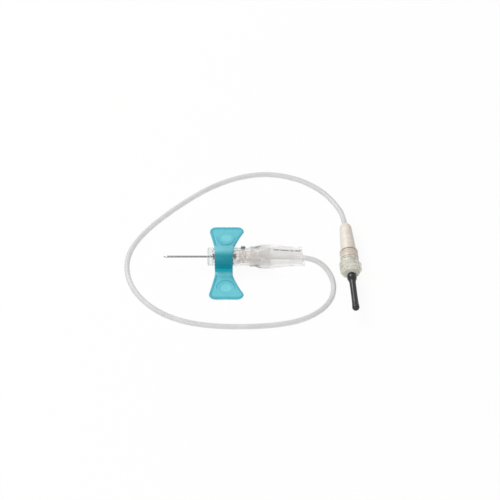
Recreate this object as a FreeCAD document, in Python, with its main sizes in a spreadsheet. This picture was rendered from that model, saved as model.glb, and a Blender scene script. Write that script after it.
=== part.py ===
import FreeCAD, Part
import math
import os

import Sketcher
from FreeCAD import Placement, Rotation, Vector

# Winged blood collection set with a push-button needle retraction. Millimetres.
# The barrel runs along X, the needle points to -X, and the set lies on the plane Z = 0.
# The origin is on that plane, under the middle of the barrel and its needle.

SIZES = {
    # patient needle
    "needle_length": 20.0,
    "needle_dia": 0.82,
    "needle_bore": 0.51,
    "needle_bevel": 2.6,
    # front barrel
    "barrel_dia": 7.8,
    "barrel_bore": 5.8,
    "barrel_length": 27.0,
    "nose_wall": 2.1,
    "nose_hole": 1.2,
    "nose_round": 0.6,
    "barrel_roll": 34.0,
    # rear barrel
    "body_length": 41.6,
    "socket_start": 18.2,
    "socket_lip": 0.35,
    "bulge_dia": 10.2,
    "belly_gap": 0.2,
    "bulge_start": 21.6,
    "bulge_end": 27.8,
    "taper_end": 34.6,
    "taper_dia": 8.9,
    "tail_dia": 8.3,
    "rear_bore": 6.6,
    "guide_bore": 5.0,
    "tail_slant": 1.8,
    "fit_gap": 0.05,
    # hub and its travel
    "hub_boss_start": 9.6,
    "hub_boss_dia": 1.5,
    "hub_start": 12.5,
    "flange_dia": 5.3,
    "flange_width": 1.4,
    "hub_dia": 4.7,
    "hub_end": 22.8,
    "groove_dia": 3.4,
    "groove_width": 2.7,
    "tube_socket": 5.4,
    "needle_seat": 16.6,
    "bond_gap": 0.03,
    "travel": 22.5,
    # retraction spring
    "spring_dia": 2.5,
    "spring_wire": 0.32,
    "spring_turns": 10.0,
    # release button and latch
    "button_station": 15.3,
    "button_length": 2.2,
    "button_width": 2.1,
    "button_rise": 0.65,
    "button_reach": 0.15,
    "button_round": 0.3,
    "window_gap": 0.1,
    "latch_width": 0.8,
    "latch_gap": 0.1,
    "latch_mouth": 70.0,
    # wings and their collar
    "collar_start": 3.1,
    "collar_length": 7.7,
    "collar_width": 9.3,
    "wing_thick": 1.0,
    "wing_recess": 0.25,
    "wing_rim": 0.7,
    "wing_reach": 18.9,
    "wing_front": 6.3,
    "wing_rear": 8.6,
    "wing_corner": 2.5,
    "wing_neck": 6.3,
    "hinge_stub": 0.25,
    "hinge_gap": 0.1,
    # tubing
    "tube_dia": 2.3,
    # female luer connector and the luer adapter, along their own axis
    "connector_tail": 2.9,
    "connector_shoulder": 5.2,
    "shoulder_at": 2.4,
    "connector_waist": 6.7,
    "connector_socket": 5.2,
    "luer_flange_at": 15.6,
    "luer_flange": 7.9,
    "connector_length": 19.7,
    "flange_groove_at": 17.1,
    "flange_groove": 0.7,
    "flange_groove_depth": 0.17,
    "grip_start": 7.0,
    "grip_pitch": 2.65,
    "grip_length": 0.55,
    "grip_rise": 0.22,
    "luer_mouth": 4.3,
    "luer_depth": 8.6,
    "luer_taper": 0.06,
    "luer_reach": 7.4,
    "adapter_neck": 7.5,
    "adapter_length": 7.6,
    "thread_core": 7.7,
    "thread_start": 1.2,
    "thread_dia": 9.4,
    "thread_pitch": 2.1,
    "thread_turns": 2.4,
    "adapter_face": 7.0,
    "adapter_spigot": 1.1,
    "sleeve_reach": 27.0,
    "sleeve_dia": 2.8,
    "sleeve_bore": 1.1,
    "sleeve_head": 4.1,
    "sleeve_tip": 3.1,
    "back_needle_reach": 24.5,
}

# where the connector lies: tail centre, heading in plan, and how far its front is raised
CONNECTOR_TAIL = (48.9, 18.4, 3.5)
CONNECTOR_HEADING = -86.0
CONNECTOR_RISE = 3.2

# how round each curved flank is: the share of its height reached half-way, where 0.5 is straight
BULGE_FRONT = 0.62
BULGE_REAR = 0.6
TAIL_FLANK = 0.34
SHOULDER_FLANK = 0.6
WAIST_FLANK = 0.58
TIP_FLANK = 0.7

# the wing's side edges, half-way from neck to corner
REAR_EDGE = (0.46, 0.6)
FRONT_EDGE = (0.4, 0.55)

# the holder thread's ridge, as shares of its pitch
THREAD_FOOT = 0.24
THREAD_CREST = 0.09

SPRING_SIDES = 8
GRIPS = 3
GRIP_ARC = 44.0

doc = FreeCAD.newDocument("winged_set")
sheet = doc.addObject("Spreadsheet::Sheet", "Sizes")
for row, (alias, amount) in enumerate(SIZES.items(), 1):
    sheet.set(f"A{row}", alias)
    sheet.set(f"B{row}", str(amount))
    sheet.setAlias(f"B{row}", alias)
doc.recompute()


class Size:
    """A number together with the sheet expression that gives it."""

    def __init__(self, value, text):
        self.value = value
        self.text = text

    def __add__(self, other):
        return Size(self.value + plain(other), f"({self.text} + {words(other)})")

    def __sub__(self, other):
        return Size(self.value - plain(other), f"({self.text} - {words(other)})")

    def __mul__(self, other):
        return Size(self.value * plain(other), f"({self.text} * {words(other)})")

    def __truediv__(self, other):
        return Size(self.value / plain(other), f"({self.text} / {words(other)})")

    def __neg__(self):
        return Size(-self.value, f"(0 - {self.text})")


def plain(number):
    return number.value if isinstance(number, Size) else float(number)


def words(number):
    return number.text if isinstance(number, Size) else f"{number:.9g}"


def size(alias):
    return Size(float(getattr(sheet, alias)), f"Sizes.{alias}")


def bind(thing, target, number):
    """Tie a property to its expression on the sheet."""
    thing.setExpression(target, words(number))


def place(thing, x, y, z, rotation=None):
    thing.Placement = Placement(Vector(plain(x), plain(y), plain(z)), rotation or Rotation())
    for axis, number in (("x", x), ("y", y), ("z", z)):
        if isinstance(number, Size):
            bind(thing, f"Placement.Base.{axis}", number)


# Sketches

def pin(sketch, geometry, vertex, x, y):
    """Fix a sketch point by its two coordinates."""
    for kind, number, axis in (("DistanceX", x, -2), ("DistanceY", y, -1)):
        if plain(number) == 0:
            sketch.addConstraint(Sketcher.Constraint("PointOnObject", geometry, vertex, axis))
            continue
        spot = Sketcher.Constraint(kind, -1, 1, geometry, vertex, plain(number))
        index = sketch.addConstraint(spot)
        if isinstance(number, Size):
            name = f"{kind[-1].lower()}{geometry}v{vertex}"
            sketch.renameConstraint(index, name)
            bind(sketch, f"Constraints.{name}", number)


def loop(sketch, points):
    """Close a loop through (x, y) points; (x, y, mx, my) is reached by an arc through (mx, my)."""
    spots = [Vector(plain(p[0]), plain(p[1]), 0) for p in points]
    edges = []
    for i, spot in enumerate(spots):
        after = points[(i + 1) % len(points)]
        target = spots[(i + 1) % len(points)]
        if len(after) == 4:
            middle = Vector(plain(after[2]), plain(after[3]), 0)
            edge = sketch.addGeometry(Part.ArcOfCircle(spot, middle, target), False)
            starts_here = sketch.getPoint(edge, 1).distanceToPoint(spot) < 1e-6
            mark = sketch.addGeometry(Part.Point(middle), True)
            sketch.addConstraint(Sketcher.Constraint("PointOnObject", mark, 1, edge))
            pin(sketch, mark, 1, after[2], after[3])
        else:
            edge = sketch.addGeometry(Part.LineSegment(spot, target), False)
            starts_here = True
        edges.append((edge, 1 if starts_here else 2, 2 if starts_here else 1))
    for i, (edge, start, _) in enumerate(edges):
        before, _, end = edges[i - 1]
        sketch.addConstraint(Sketcher.Constraint("Coincident", before, end, edge, start))
        pin(sketch, edge, start, points[i][0], points[i][1])


def ring(sketch, x, y, radius):
    """Draw a circle with its centre pinned."""
    at = Vector(plain(x), plain(y), 0)
    circle = sketch.addGeometry(Part.Circle(at, Vector(0, 0, 1), plain(radius)), False)
    pin(sketch, circle, 3, x, y)
    index = sketch.addConstraint(Sketcher.Constraint("Radius", circle, plain(radius)))
    if isinstance(radius, Size):
        sketch.renameConstraint(index, f"radius{circle}")
        bind(sketch, f"Constraints.radius{circle}", radius)


def sketch_on(body, plane, name, lift=None):
    """Start a sketch on one of the body's own origin planes."""
    base = next(f for f in body.Origin.OriginFeatures if f.Role == plane)
    sketch = body.newObject("Sketcher::SketchObject", f"{body.Name}_{name}")
    sketch.AttachmentSupport = [(base, "")]
    sketch.MapMode = "FlatFace"
    if lift is not None:
        sketch.AttachmentOffset = Placement(Vector(0, 0, plain(lift)), Rotation())
        if isinstance(lift, Size):
            bind(sketch, "AttachmentOffset.Base.z", lift)
    return sketch


# Features

SUBPARTS = []


def new_body(name):
    body = doc.addObject("PartDesign::Body", name)
    body.Label = name
    SUBPARTS.append(body)
    return body


def feature(body, kind, name, profile, **settings):
    made = body.newObject(f"PartDesign::{kind}", f"{body.Name}_{name}")
    made.Profile = profile
    for key, setting in settings.items():
        if isinstance(setting, Size):
            setattr(made, key, setting.value)
            bind(made, key, setting)
        else:
            setattr(made, key, setting)
    doc.recompute()
    return made


def turned(body, name, points, kind="Revolution"):
    """Turn a profile about the body's own X axis; x runs along it and y is the radius."""
    sketch = sketch_on(body, "XY_Plane", f"{name}_profile")
    loop(sketch, points)
    return feature(body, kind, name, sketch, ReferenceAxis=(sketch, ["H_Axis"]), Angle=360.0)


def cut(body, name, sketch, **settings):
    """Cut, and stop if nothing came away."""
    before = body.Shape.Volume
    made = feature(body, "Pocket", name, sketch, **settings)
    if body.Shape.Volume > before - 1e-4:
        raise RuntimeError(f"{made.Name} cuts nothing")
    return made


def edges_where(shape, test):
    return [f"Edge{i}" for i, edge in enumerate(shape.Edges, 1) if test(edge)]


def rounded(body, name, test, radius, kind="Fillet"):
    """Round or chamfer the edges of the body's tip that pass a test."""
    last = body.Tip
    made = body.newObject(f"PartDesign::{kind}", f"{body.Name}_{name}")
    made.Base = (last, edges_where(last.Shape, test))
    target = "Radius" if kind == "Fillet" else "Size"
    setattr(made, target, plain(radius))
    if isinstance(radius, Size):
        bind(made, target, radius)
    doc.recompute()
    return made


# Shared places

nose = (size("needle_length") - size("body_length")) / 2
axis_height = size("bulge_dia") / 2 + size("belly_gap")
barrel_radius = size("barrel_dia") / 2
bore_radius = size("barrel_bore") / 2
needle_radius = size("needle_dia") / 2
tube_radius = size("tube_dia") / 2
fit_gap = size("fit_gap")
bond_gap = size("bond_gap")
ROLLED = Rotation(Vector(1, 0, 0), -SIZES["barrel_roll"])


def on_axis(body, along=None):
    """Seat a body on the barrel's axis, rolled with the barrel."""
    place(body, nose if along is None else nose + along, 0.0, axis_height, ROLLED)


def front_barrel():
    body = new_body("front_barrel")
    end = size("barrel_length")
    hole = size("nose_hole") / 2
    turned(body, "shell", [
        (0, hole), (0, barrel_radius), (end, barrel_radius), (end, bore_radius),
        (size("nose_wall"), bore_radius), (size("nose_wall"), hole),
    ])
    window = sketch_on(body, "XY_Plane", "window")
    half_length = size("button_length") / 2 + size("window_gap")
    half_width = size("button_width") / 2 + size("window_gap")
    station = size("button_station")
    loop(window, [
        (station - half_length, -half_width), (station + half_length, -half_width),
        (station + half_length, half_width), (station - half_length, half_width),
    ])
    cut(body, "window_cut", window, Type="Length", Length=barrel_radius * 1.5, Reversed=True)
    rounded(body, "nose_rounding", lambda e: on_circle(e, 0, barrel_radius), size("nose_round"))
    on_axis(body)


def on_circle(edge, x, radius):
    """Whether an edge is the full circle of a radius at a station along X."""
    box = edge.BoundBox
    return abs(box.XMin - plain(x)) < 1e-4 > abs(box.XMax - plain(x)) - 1e-9 and abs(
        box.YLength - 2 * plain(radius)
    ) < 1e-3


def rear_barrel():
    body = new_body("rear_barrel")
    start = size("socket_start")
    end = size("body_length")
    socket = barrel_radius + fit_gap
    bulge = size("bulge_dia") / 2
    taper = size("taper_dia") / 2
    tail = size("tail_dia") / 2
    rear_bore = size("rear_bore") / 2
    guide = size("guide_bore") / 2
    lip = socket + size("socket_lip")
    rise = size("bulge_start")
    fall = size("bulge_end")
    level = size("taper_end")
    step = size("barrel_length") + fit_gap
    ledge = size("hub_start") + size("flange_width") + size("travel") + fit_gap * 2
    turned(body, "shell", [
        (start, socket), (start, lip),
        (rise, bulge, (start + rise) / 2, lip + (bulge - lip) * BULGE_FRONT),
        (fall, bulge),
        (level, taper, (fall + level) / 2, taper + (bulge - taper) * BULGE_REAR),
        (end, tail, (level + end) / 2, tail + (taper - tail) * TAIL_FLANK),
        (end, guide), (ledge, guide), (ledge, rear_bore),
        (step, rear_bore), (step, socket),
    ])
    slant = sketch_on(body, "XZ_Plane", "slant")
    beyond = bulge * 1.5
    loop(slant, [
        (end - size("tail_slant"), tail + 0.5), (end, -tail), (end, -beyond),
        (end + beyond, -beyond), (end + beyond, beyond), (end - size("tail_slant"), beyond),
    ])
    cut(body, "slant_cut", slant, Type="Length", Length=bulge * 4, Midplane=True)
    on_axis(body)


def needle():
    body = new_body("needle")
    length = size("needle_length")
    turned(body, "cannula", [
        (-length, size("needle_bore") / 2), (-length, needle_radius),
        (size("needle_seat"), needle_radius), (size("needle_seat"), size("needle_bore") / 2),
    ])
    bevel = sketch_on(body, "XZ_Plane", "bevel")
    clear = needle_radius * 1.2
    loop(bevel, [
        (-length, -needle_radius), (size("needle_bevel") - length, needle_radius),
        (size("needle_bevel") - length, clear), (-length - clear, clear),
        (-length - clear, -needle_radius),
    ])
    cut(body, "bevel_cut", bevel, Type="Length", Length=needle_radius * 4, Midplane=True)
    place(body, nose, 0.0, axis_height)


def needle_hub():
    body = new_body("needle_hub")
    boss = size("hub_boss_start")
    start = size("hub_start")
    flange_end = start + size("flange_width")
    groove = size("button_station") - size("groove_width") / 2
    groove_end = size("button_station") + size("groove_width") / 2
    end = size("hub_end")
    hub = size("hub_dia") / 2
    socket = end - size("tube_socket")
    needle_hole = needle_radius + bond_gap
    turned(body, "hub", [
        (boss, needle_hole), (boss, size("hub_boss_dia") / 2), (start, size("hub_boss_dia") / 2),
        (start, size("flange_dia") / 2), (flange_end, size("flange_dia") / 2),
        (flange_end, size("groove_dia") / 2), (groove_end, size("groove_dia") / 2),
        (groove_end, hub), (end, hub), (end, tube_radius + bond_gap),
        (socket, tube_radius + bond_gap), (socket, needle_hole),
    ])
    if groove.value < flange_end.value - 1e-9:
        raise RuntimeError("the latch groove runs into the flange")
    on_axis(body)


def retraction_spring():
    wire = size("spring_wire") / 2
    coil = size("spring_dia") / 2 - wire
    front = size("nose_wall") + fit_gap * 2 + wire
    back = size("hub_start") - fit_gap * 2 - wire
    helix = doc.addObject("Part::Helix", "spring_line")
    bind(helix, "Radius", coil)
    bind(helix, "Height", back - front)
    bind(helix, "Pitch", (back - front) / size("spring_turns"))
    # the drawn wire is an eight-sided bar with the round wire's own cross-section area
    side_angle = math.pi / SPRING_SIDES
    same_area = math.sqrt(side_angle / (math.sin(side_angle) * math.cos(side_angle)))
    section = doc.addObject("Part::RegularPolygon", "spring_section")
    section.Polygon = SPRING_SIDES
    bind(section, "Circumradius", wire * same_area)
    section.Placement = Placement(Vector(coil.value, 0, 0), Rotation(Vector(1, 0, 0), 90))
    bind(section, "Placement.Base.x", coil)
    doc.recompute()
    spring = doc.addObject("Part::Sweep", "retraction_spring")
    spring.Label = "retraction_spring"
    spring.Sections = [section]
    spring.Spine = (helix, ["Edge1"])
    spring.Solid = True
    spring.Frenet = True
    place(spring, nose + front, 0.0, axis_height, Rotation(Vector(0, 1, 0), 90))
    SUBPARTS.append(spring)


def release_button():
    body = new_body("release_button")
    half_length = size("button_length") / 2
    half_width = size("button_width") / 2
    foot = bore_radius + size("button_reach")
    top = barrel_radius + size("button_rise")
    outline = sketch_on(body, "XY_Plane", "outline", foot)
    loop(outline, [
        (-half_length, -half_width), (half_length, -half_width),
        (half_length, half_width), (-half_length, half_width),
    ])
    feature(body, "Pad", "block", outline, Length=top - foot)
    top_edges = lambda e: e.BoundBox.ZMin > top.value - 1e-6
    rounded(body, "thumb_rounding", top_edges, size("button_round"))
    on_axis(body, size("button_station"))


def release_latch():
    body = new_body("release_latch")
    outer = bore_radius - size("latch_gap")
    inner = size("groove_dia") / 2 + fit_gap
    foot = bore_radius + size("button_reach") - fit_gap
    mouth = math.radians(SIZES["latch_mouth"] / 2)
    tab = size("button_width") / 2 - size("window_gap") * 3
    away_y, away_z = math.sin(mouth), -math.cos(mouth)
    side_y, side_z = 1.0, 0.0
    shoulder = Size(math.sqrt(outer.value ** 2 - tab.value ** 2), f"sqrt({outer.text} ^ 2 - {tab.text} ^ 2)")
    jaw = sketch_on(body, "YZ_Plane", "jaw")
    loop(jaw, [
        (outer * away_y, outer * away_z),
        (tab, shoulder, outer * side_y, outer * side_z),
        (tab, foot), (-tab, foot), (-tab, shoulder),
        (outer * -away_y, outer * away_z, outer * -side_y, outer * side_z),
        (inner * -away_y, inner * away_z),
        (inner * away_y, inner * away_z, inner * 0, inner * 1),
    ])
    feature(body, "Pad", "clip", jaw, Length=size("latch_width"), Midplane=True)
    on_axis(body, size("button_station"))


# Wings

collar_middle = nose + size("collar_start") + size("collar_length") / 2
flank = size("collar_width") / 2
hinge_line = flank + size("hinge_stub") + size("hinge_gap") + size("wing_thick") / 2


def wing_collar():
    body = new_body("wing_collar")
    thick = size("wing_thick")
    stub = flank + size("hinge_stub")
    section = sketch_on(body, "YZ_Plane", "section")
    loop(section, [
        (-stub, 0), (stub, 0), (stub, thick), (flank, thick), (flank, axis_height),
        (-flank, axis_height, flank * 0, axis_height + flank), (-flank, thick), (-stub, thick),
    ])
    ring(section, 0, axis_height, barrel_radius + fit_gap)
    feature(body, "Pad", "saddle", section, Length=size("collar_length"), Midplane=True)
    place(body, collar_middle, 0.0, 0.0)


def wing_outline(side, inset=0.0):
    """The wing seen from above, side -1 or 1; the hinge line is y = 0."""
    root = size("collar_length") / 2 - inset
    front = -size("wing_front") + inset
    rear = size("wing_rear") - inset
    reach = size("wing_reach") - hinge_line - inset
    neck = size("wing_neck") - hinge_line + inset * 0.5
    corner = size("wing_corner") - inset * 0.5
    near_corner = corner * (1 - math.sqrt(0.5))
    start = inset if plain(inset) else 0.0
    points = [
        (-root, start), (root, start), (root, neck),
        (rear, reach - corner, root + (rear - root) * REAR_EDGE[0],
         neck + (reach - corner - neck) * REAR_EDGE[1]),
        (rear - corner, reach, rear - near_corner, reach - near_corner),
        (front + corner, reach),
        (front, reach - corner, front + near_corner, reach - near_corner),
        (-root, neck, -root - (-root - front) * FRONT_EDGE[0],
         neck + (reach - corner - neck) * FRONT_EDGE[1]),
    ]
    return [tuple(n if k % 2 == 0 else n * side for k, n in enumerate(p)) for p in points]


def wing(name, side):
    body = new_body(name)
    half = size("wing_thick") / 2
    root = size("collar_length") / 2
    outline = sketch_on(body, "XY_Plane", "outline")
    loop(outline, wing_outline(side))
    feature(body, "Pad", "plate", outline, Length=size("wing_thick"), Midplane=True)
    knuckle = sketch_on(body, "YZ_Plane", "knuckle")
    ring(knuckle, 0, 0, half)
    feature(body, "Pad", "hinge_knuckle", knuckle, Length=root * 2, Midplane=True)
    dish = sketch_on(body, "XY_Plane", "dish", half)
    loop(dish, wing_outline(side, size("wing_rim")))
    cut(body, "dish_cut", dish, Type="Length", Length=size("wing_recess"))
    place(body, collar_middle, hinge_line * side, half)


# Connector, adapter and sleeve lie on one axis

CHAIN = Rotation(Vector(0, 0, 1), CONNECTOR_HEADING).multiply(
    Rotation(Vector(0, 1, 0), -CONNECTOR_RISE)
)
luer_front = size("connector_length")


def on_chain(body, along=None):
    shift = CHAIN.multVec(Vector(plain(along) if along else 0, 0, 0))
    place(body, CONNECTOR_TAIL[0] + shift.x, CONNECTOR_TAIL[1] + shift.y,
          CONNECTOR_TAIL[2] + shift.z, CHAIN)
    if along:
        unit = CHAIN.multVec(Vector(1, 0, 0))
        for axis, start, part in zip("xyz", CONNECTOR_TAIL, unit):
            bind(body, f"Placement.Base.{axis}", along * part + start)


def luer_connector():
    body = new_body("luer_connector")
    tail = size("connector_tail") / 2
    shoulder = size("connector_shoulder") / 2
    waist = size("connector_waist") / 2
    flange = size("luer_flange") / 2
    ogive = size("shoulder_at")
    flange_at = size("luer_flange_at")
    mouth = size("luer_mouth") / 2
    deep = luer_front - size("luer_depth")
    bottom = mouth - size("luer_depth") * (size("luer_taper") / 2)
    socket = size("connector_socket")
    passage = tube_radius * 0.6
    ring_start = size("flange_groove_at")
    ring_end = ring_start + size("flange_groove")
    ring_bed = flange - size("flange_groove_depth")
    turned(body, "shell", [
        (0, tube_radius + bond_gap), (0, tail),
        (ogive, shoulder, ogive * 0.42, tail + (shoulder - tail) * SHOULDER_FLANK),
        (flange_at, waist, ogive + (flange_at - ogive) * 0.5,
         shoulder + (waist - shoulder) * WAIST_FLANK),
        (flange_at, flange), (ring_start, flange), (ring_start, ring_bed), (ring_end, ring_bed),
        (ring_end, flange), (luer_front, flange), (luer_front, mouth), (deep, bottom),
        (deep, passage), (socket, passage), (socket, tube_radius + bond_gap),
    ])
    grips = []
    for i in range(GRIPS):
        start = size("grip_start") + size("grip_pitch") * i
        end = start + size("grip_length")
        along = (start - ogive) / (flange_at - ogive)
        skin = shoulder + (waist - shoulder) * along
        bar = sketch_on(body, "XZ_Plane", f"grip_{i + 1}_profile")
        loop(bar, [
            (start, skin - size("grip_rise")), (end, skin - size("grip_rise")),
            (end, skin + size("grip_rise")), (start, skin + size("grip_rise")),
        ])
        grips.append(feature(body, "Revolution", f"grip_{i + 1}", bar, Midplane=True,
                             ReferenceAxis=(bar, ["H_Axis"]), Angle=GRIP_ARC))
    both = body.newObject("PartDesign::PolarPattern", "grips_on_both_faces")
    both.Originals = grips
    both.Axis = (bar, ["H_Axis"])
    both.Angle = 360.0
    both.Occurrences = 2
    body.Tip = both
    doc.recompute()
    on_chain(body)


def luer_adapter():
    body = new_body("luer_adapter")
    neck = size("adapter_neck") / 2
    length = size("adapter_length")
    core = size("thread_core") / 2
    face = size("adapter_face") / 2
    slope = size("luer_taper") / 2
    root = size("luer_mouth") / 2 - fit_gap
    tip = root - size("luer_reach") * slope
    reach = size("luer_reach")
    spigot = size("sleeve_bore") / 2 + fit_gap * 3
    hole = needle_radius + bond_gap
    turned(body, "hub", [
        (-reach, hole), (-reach, tip), (0, root), (fit_gap, neck),
        (size("thread_start"), neck), (size("thread_start"), core),
        (length - 0.8, core), (length, face), (length, spigot),
        (length + size("adapter_spigot"), spigot), (length + size("adapter_spigot"), hole),
    ])
    ridge = sketch_on(body, "XY_Plane", "ridge")
    pitch = size("thread_pitch")
    first = size("thread_start") + pitch * 0.3
    crest = size("thread_dia") / 2
    bed = core - fit_gap * 2
    loop(ridge, [
        (first - pitch * THREAD_FOOT, bed), (first + pitch * THREAD_FOOT, bed),
        (first + pitch * THREAD_CREST, crest), (first - pitch * THREAD_CREST, crest),
    ])
    before = body.Shape.Volume
    feature(body, "AdditiveHelix", "thread", ridge, ReferenceAxis=(ridge, ["H_Axis"]),
            Mode="pitch-turns-angle", Pitch=pitch, Turns=size("thread_turns"))
    print(f"thread adds {body.Shape.Volume - before:.1f} mm3")
    on_chain(body, luer_front)


def adapter_needle():
    body = new_body("adapter_needle")
    turned(body, "cannula", [
        (-size("luer_reach"), size("needle_bore") / 2), (-size("luer_reach"), needle_radius),
        (size("back_needle_reach"), needle_radius),
        (size("back_needle_reach"), size("needle_bore") / 2),
    ])
    on_chain(body, luer_front)


def rubber_sleeve():
    body = new_body("rubber_sleeve")
    start = size("adapter_length") + fit_gap
    reach = size("sleeve_reach")
    outer = size("sleeve_dia") / 2
    head = size("sleeve_head") / 2
    tip = size("sleeve_tip") / 2
    bore = size("sleeve_bore") / 2
    spigot = bore + fit_gap * 4
    spigot_end = size("adapter_length") + size("adapter_spigot") + fit_gap
    turned(body, "sleeve", [
        (start, spigot), (start, head * 0.8),
        (start + head * 1.5, head * 0.8, start + head * 0.75, head),
        (start + head * 2.1, outer),
        (reach - tip * 2.4, outer),
        (reach - tip, tip, reach - tip * 1.7, outer + (tip - outer) * TIP_FLANK),
        (reach, 0, reach - tip * (1 - math.sqrt(0.5)), tip * math.sqrt(0.5)),
        (reach - tip * 0.7, 0), (reach - tip * 0.7, bore),
        (spigot_end, bore), (spigot_end, spigot),
    ])
    on_chain(body, luer_front)


# Tubing: straight runs joined by tangent arcs, through points chosen by hand

ROUTE = [
    (17.0, 0.05, 5.25),
    (27.6, -0.1, 5.15),
    (35.2, -1.0, 4.6),
    (40.0, -4.2, 3.4),
    (43.2, -10.2, 2.1),
    (43.1, -17.2, 1.4),
    (39.9, -23.0, 1.2),
    (34.3, -27.6, 1.2),
    (27.2, -30.8, 1.2),
    (16.7, -32.8, 1.2),
    (4.5, -33.4, 1.2),
    (-7.4, -33.1, 1.2),
    (-19.4, -31.3, 1.2),
    (-29.8, -27.0, 1.2),
    (-37.9, -20.6, 1.2),
    (-43.6, -12.6, 1.2),
    (-46.1, -3.0, 1.2),
    (-44.6, 6.3, 1.2),
    (-39.0, 15.4, 1.2),
    (-31.0, 23.9, 1.2),
    (-21.0, 32.7, 1.2),
    (-9.6, 41.0, 1.2),
    (3.4, 46.7, 1.2),
    (16.5, 48.3, 1.2),
    (29.1, 45.2, 1.2),
    (39.0, 38.9, 1.3),
    (45.0, 30.9, 2.0),
]
CORNER_SHARE = 0.45
APPROACH = 4.5


def tube_path(points):
    """The route as lines and tangent arcs, with the radius of each arc."""
    edges = []
    radii = []
    start = points[0]
    for before, corner, after in zip(points, points[1:], points[2:]):
        back = (before - corner).normalize()
        ahead = (after - corner).normalize()
        shorter = min(before.distanceToPoint(corner), after.distanceToPoint(corner))
        half_turn = (math.pi - back.getAngle(ahead)) / 2
        reach = CORNER_SHARE * shorter
        radius = reach / math.tan(half_turn)
        inward = (back + ahead).normalize()
        middle = corner + inward * (radius / math.cos(half_turn) - radius)
        edges.append(Part.LineSegment(start, corner + back * reach).toShape())
        edges.append(Part.Arc(corner + back * reach, middle, corner + ahead * reach).toShape())
        start = corner + ahead * reach
        radii.append(radius)
    edges.append(Part.LineSegment(start, points[-1]).toShape())
    return Part.Wire(edges), radii


def tubing():
    socket = size("hub_end") - size("tube_socket") + bond_gap
    start = Vector(plain(nose + socket), 0, plain(axis_height))
    tail = Vector(*CONNECTOR_TAIL)
    ahead = CHAIN.multVec(Vector(1, 0, 0))
    seat = SIZES["connector_socket"] - bond_gap.value
    points = [start, *(Vector(*p) for p in ROUTE), tail - ahead * APPROACH, tail + ahead * seat]
    path, radii = tube_path(points)
    section = Part.Wire(Part.Circle(start, points[1] - start, tube_radius.value).toShape())
    swept = path.makePipeShell([section], True, False)
    ideal = math.pi * tube_radius.value ** 2 * path.Length
    if abs(swept.Volume / ideal - 1) > 0.01:
        raise RuntimeError(f"tube volume {swept.Volume:.1f}, section times length {ideal:.1f}")
    print(f"tube {path.Length:.1f} mm long, radii", " ".join(f"{r:.0f}" for r in radii))
    tube = doc.addObject("Part::Feature", "tubing")
    tube.Label = "tubing"
    tube.Shape = swept
    SUBPARTS.append(tube)


front_barrel()
rear_barrel()
needle()
needle_hub()
retraction_spring()
release_button()
release_latch()
wing_collar()
wing("wing_near", -1)
wing("wing_far", 1)
luer_connector()
luer_adapter()
adapter_needle()
rubber_sleeve()
tubing()
doc.recompute()

for thing in doc.Objects:
    if "Invalid" in thing.State or "Error" in thing.State:
        raise RuntimeError(f"{thing.Name} failed: {thing.State}")
for part in SUBPARTS:
    if part.Shape.isNull() or not part.Shape.isValid():
        raise RuntimeError(f"{part.Label} has no valid shape")

os.makedirs("parts", exist_ok=True)
for part in SUBPARTS:
    part.Shape.exportStep(f"parts/{part.Label}.step")
    box = part.Shape.optimalBoundingBox()
    print(f"{part.Label}: {part.Shape.Volume:.1f} mm3, {len(part.Shape.Solids)} solid,"
          f" x {box.XMin:.2f} to {box.XMax:.2f}, y {box.YMin:.2f} to {box.YMax:.2f},"
          f" z {box.ZMin:.2f} to {box.ZMax:.2f}")
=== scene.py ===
"""Winged blood collection set: barrel, wings, looped tubing, luer connector, adapter and needle sleeve.

Drawn in millimetres and written in metres. The barrel runs along X with the needle to -X, and the table
is Z = 0.
"""
import math

import bmesh
import bpy
from mathutils import Matrix, Vector


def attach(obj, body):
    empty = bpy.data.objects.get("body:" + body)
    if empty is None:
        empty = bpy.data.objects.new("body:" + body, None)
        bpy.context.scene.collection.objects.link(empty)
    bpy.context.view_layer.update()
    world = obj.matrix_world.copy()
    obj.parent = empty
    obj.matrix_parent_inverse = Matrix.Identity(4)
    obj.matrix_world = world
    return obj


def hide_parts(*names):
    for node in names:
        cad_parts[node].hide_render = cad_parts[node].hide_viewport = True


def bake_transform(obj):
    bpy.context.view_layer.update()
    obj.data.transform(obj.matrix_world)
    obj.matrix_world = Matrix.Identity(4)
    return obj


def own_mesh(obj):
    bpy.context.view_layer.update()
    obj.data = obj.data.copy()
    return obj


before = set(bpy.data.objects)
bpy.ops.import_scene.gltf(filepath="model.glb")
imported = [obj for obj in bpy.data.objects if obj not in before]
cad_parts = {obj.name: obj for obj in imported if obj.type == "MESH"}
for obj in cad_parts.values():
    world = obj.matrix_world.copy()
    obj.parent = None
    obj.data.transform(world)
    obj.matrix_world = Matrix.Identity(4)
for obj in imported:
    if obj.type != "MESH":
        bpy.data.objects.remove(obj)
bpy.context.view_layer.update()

# Places, in millimetres and degrees

MM = 0.001
AXIS_HEIGHT = 5.3
NOSE = -10.8
# The barrel is rolled about its axis, so that its button looks up and back.
BARREL_ROLL = 34
BARREL = Matrix.Translation((NOSE, 0, AXIS_HEIGHT)) @ Matrix.Rotation(math.radians(-BARREL_ROLL), 4, "X")

# Connector, adapter and sleeve lie on one straight line that rises a little from the connector's tail.
CONNECTOR_TAIL = Vector((48.9, 18.4, 3.5))
CHAIN_HEADING = -86
CHAIN_RISE = 3.2
CHAIN = (
    Matrix.Translation(CONNECTOR_TAIL)
    @ Matrix.Rotation(math.radians(CHAIN_HEADING), 4, "Z")
    @ Matrix.Rotation(math.radians(-CHAIN_RISE), 4, "Y")
)
LUER_FRONT = 19.7
ADAPTER = CHAIN @ Matrix.Translation((LUER_FRONT, 0, 0))

COLLAR_MIDDLE = -3.85
COLLAR_HALF = 3.85
COLLAR = Matrix.Translation((COLLAR_MIDDLE, 0, 0))

# The bores that a cannula and the tubing sit in, as radii
NEEDLE_BORE = 0.44
TUBE_BORE = 1.18


# Ways to shape


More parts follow.
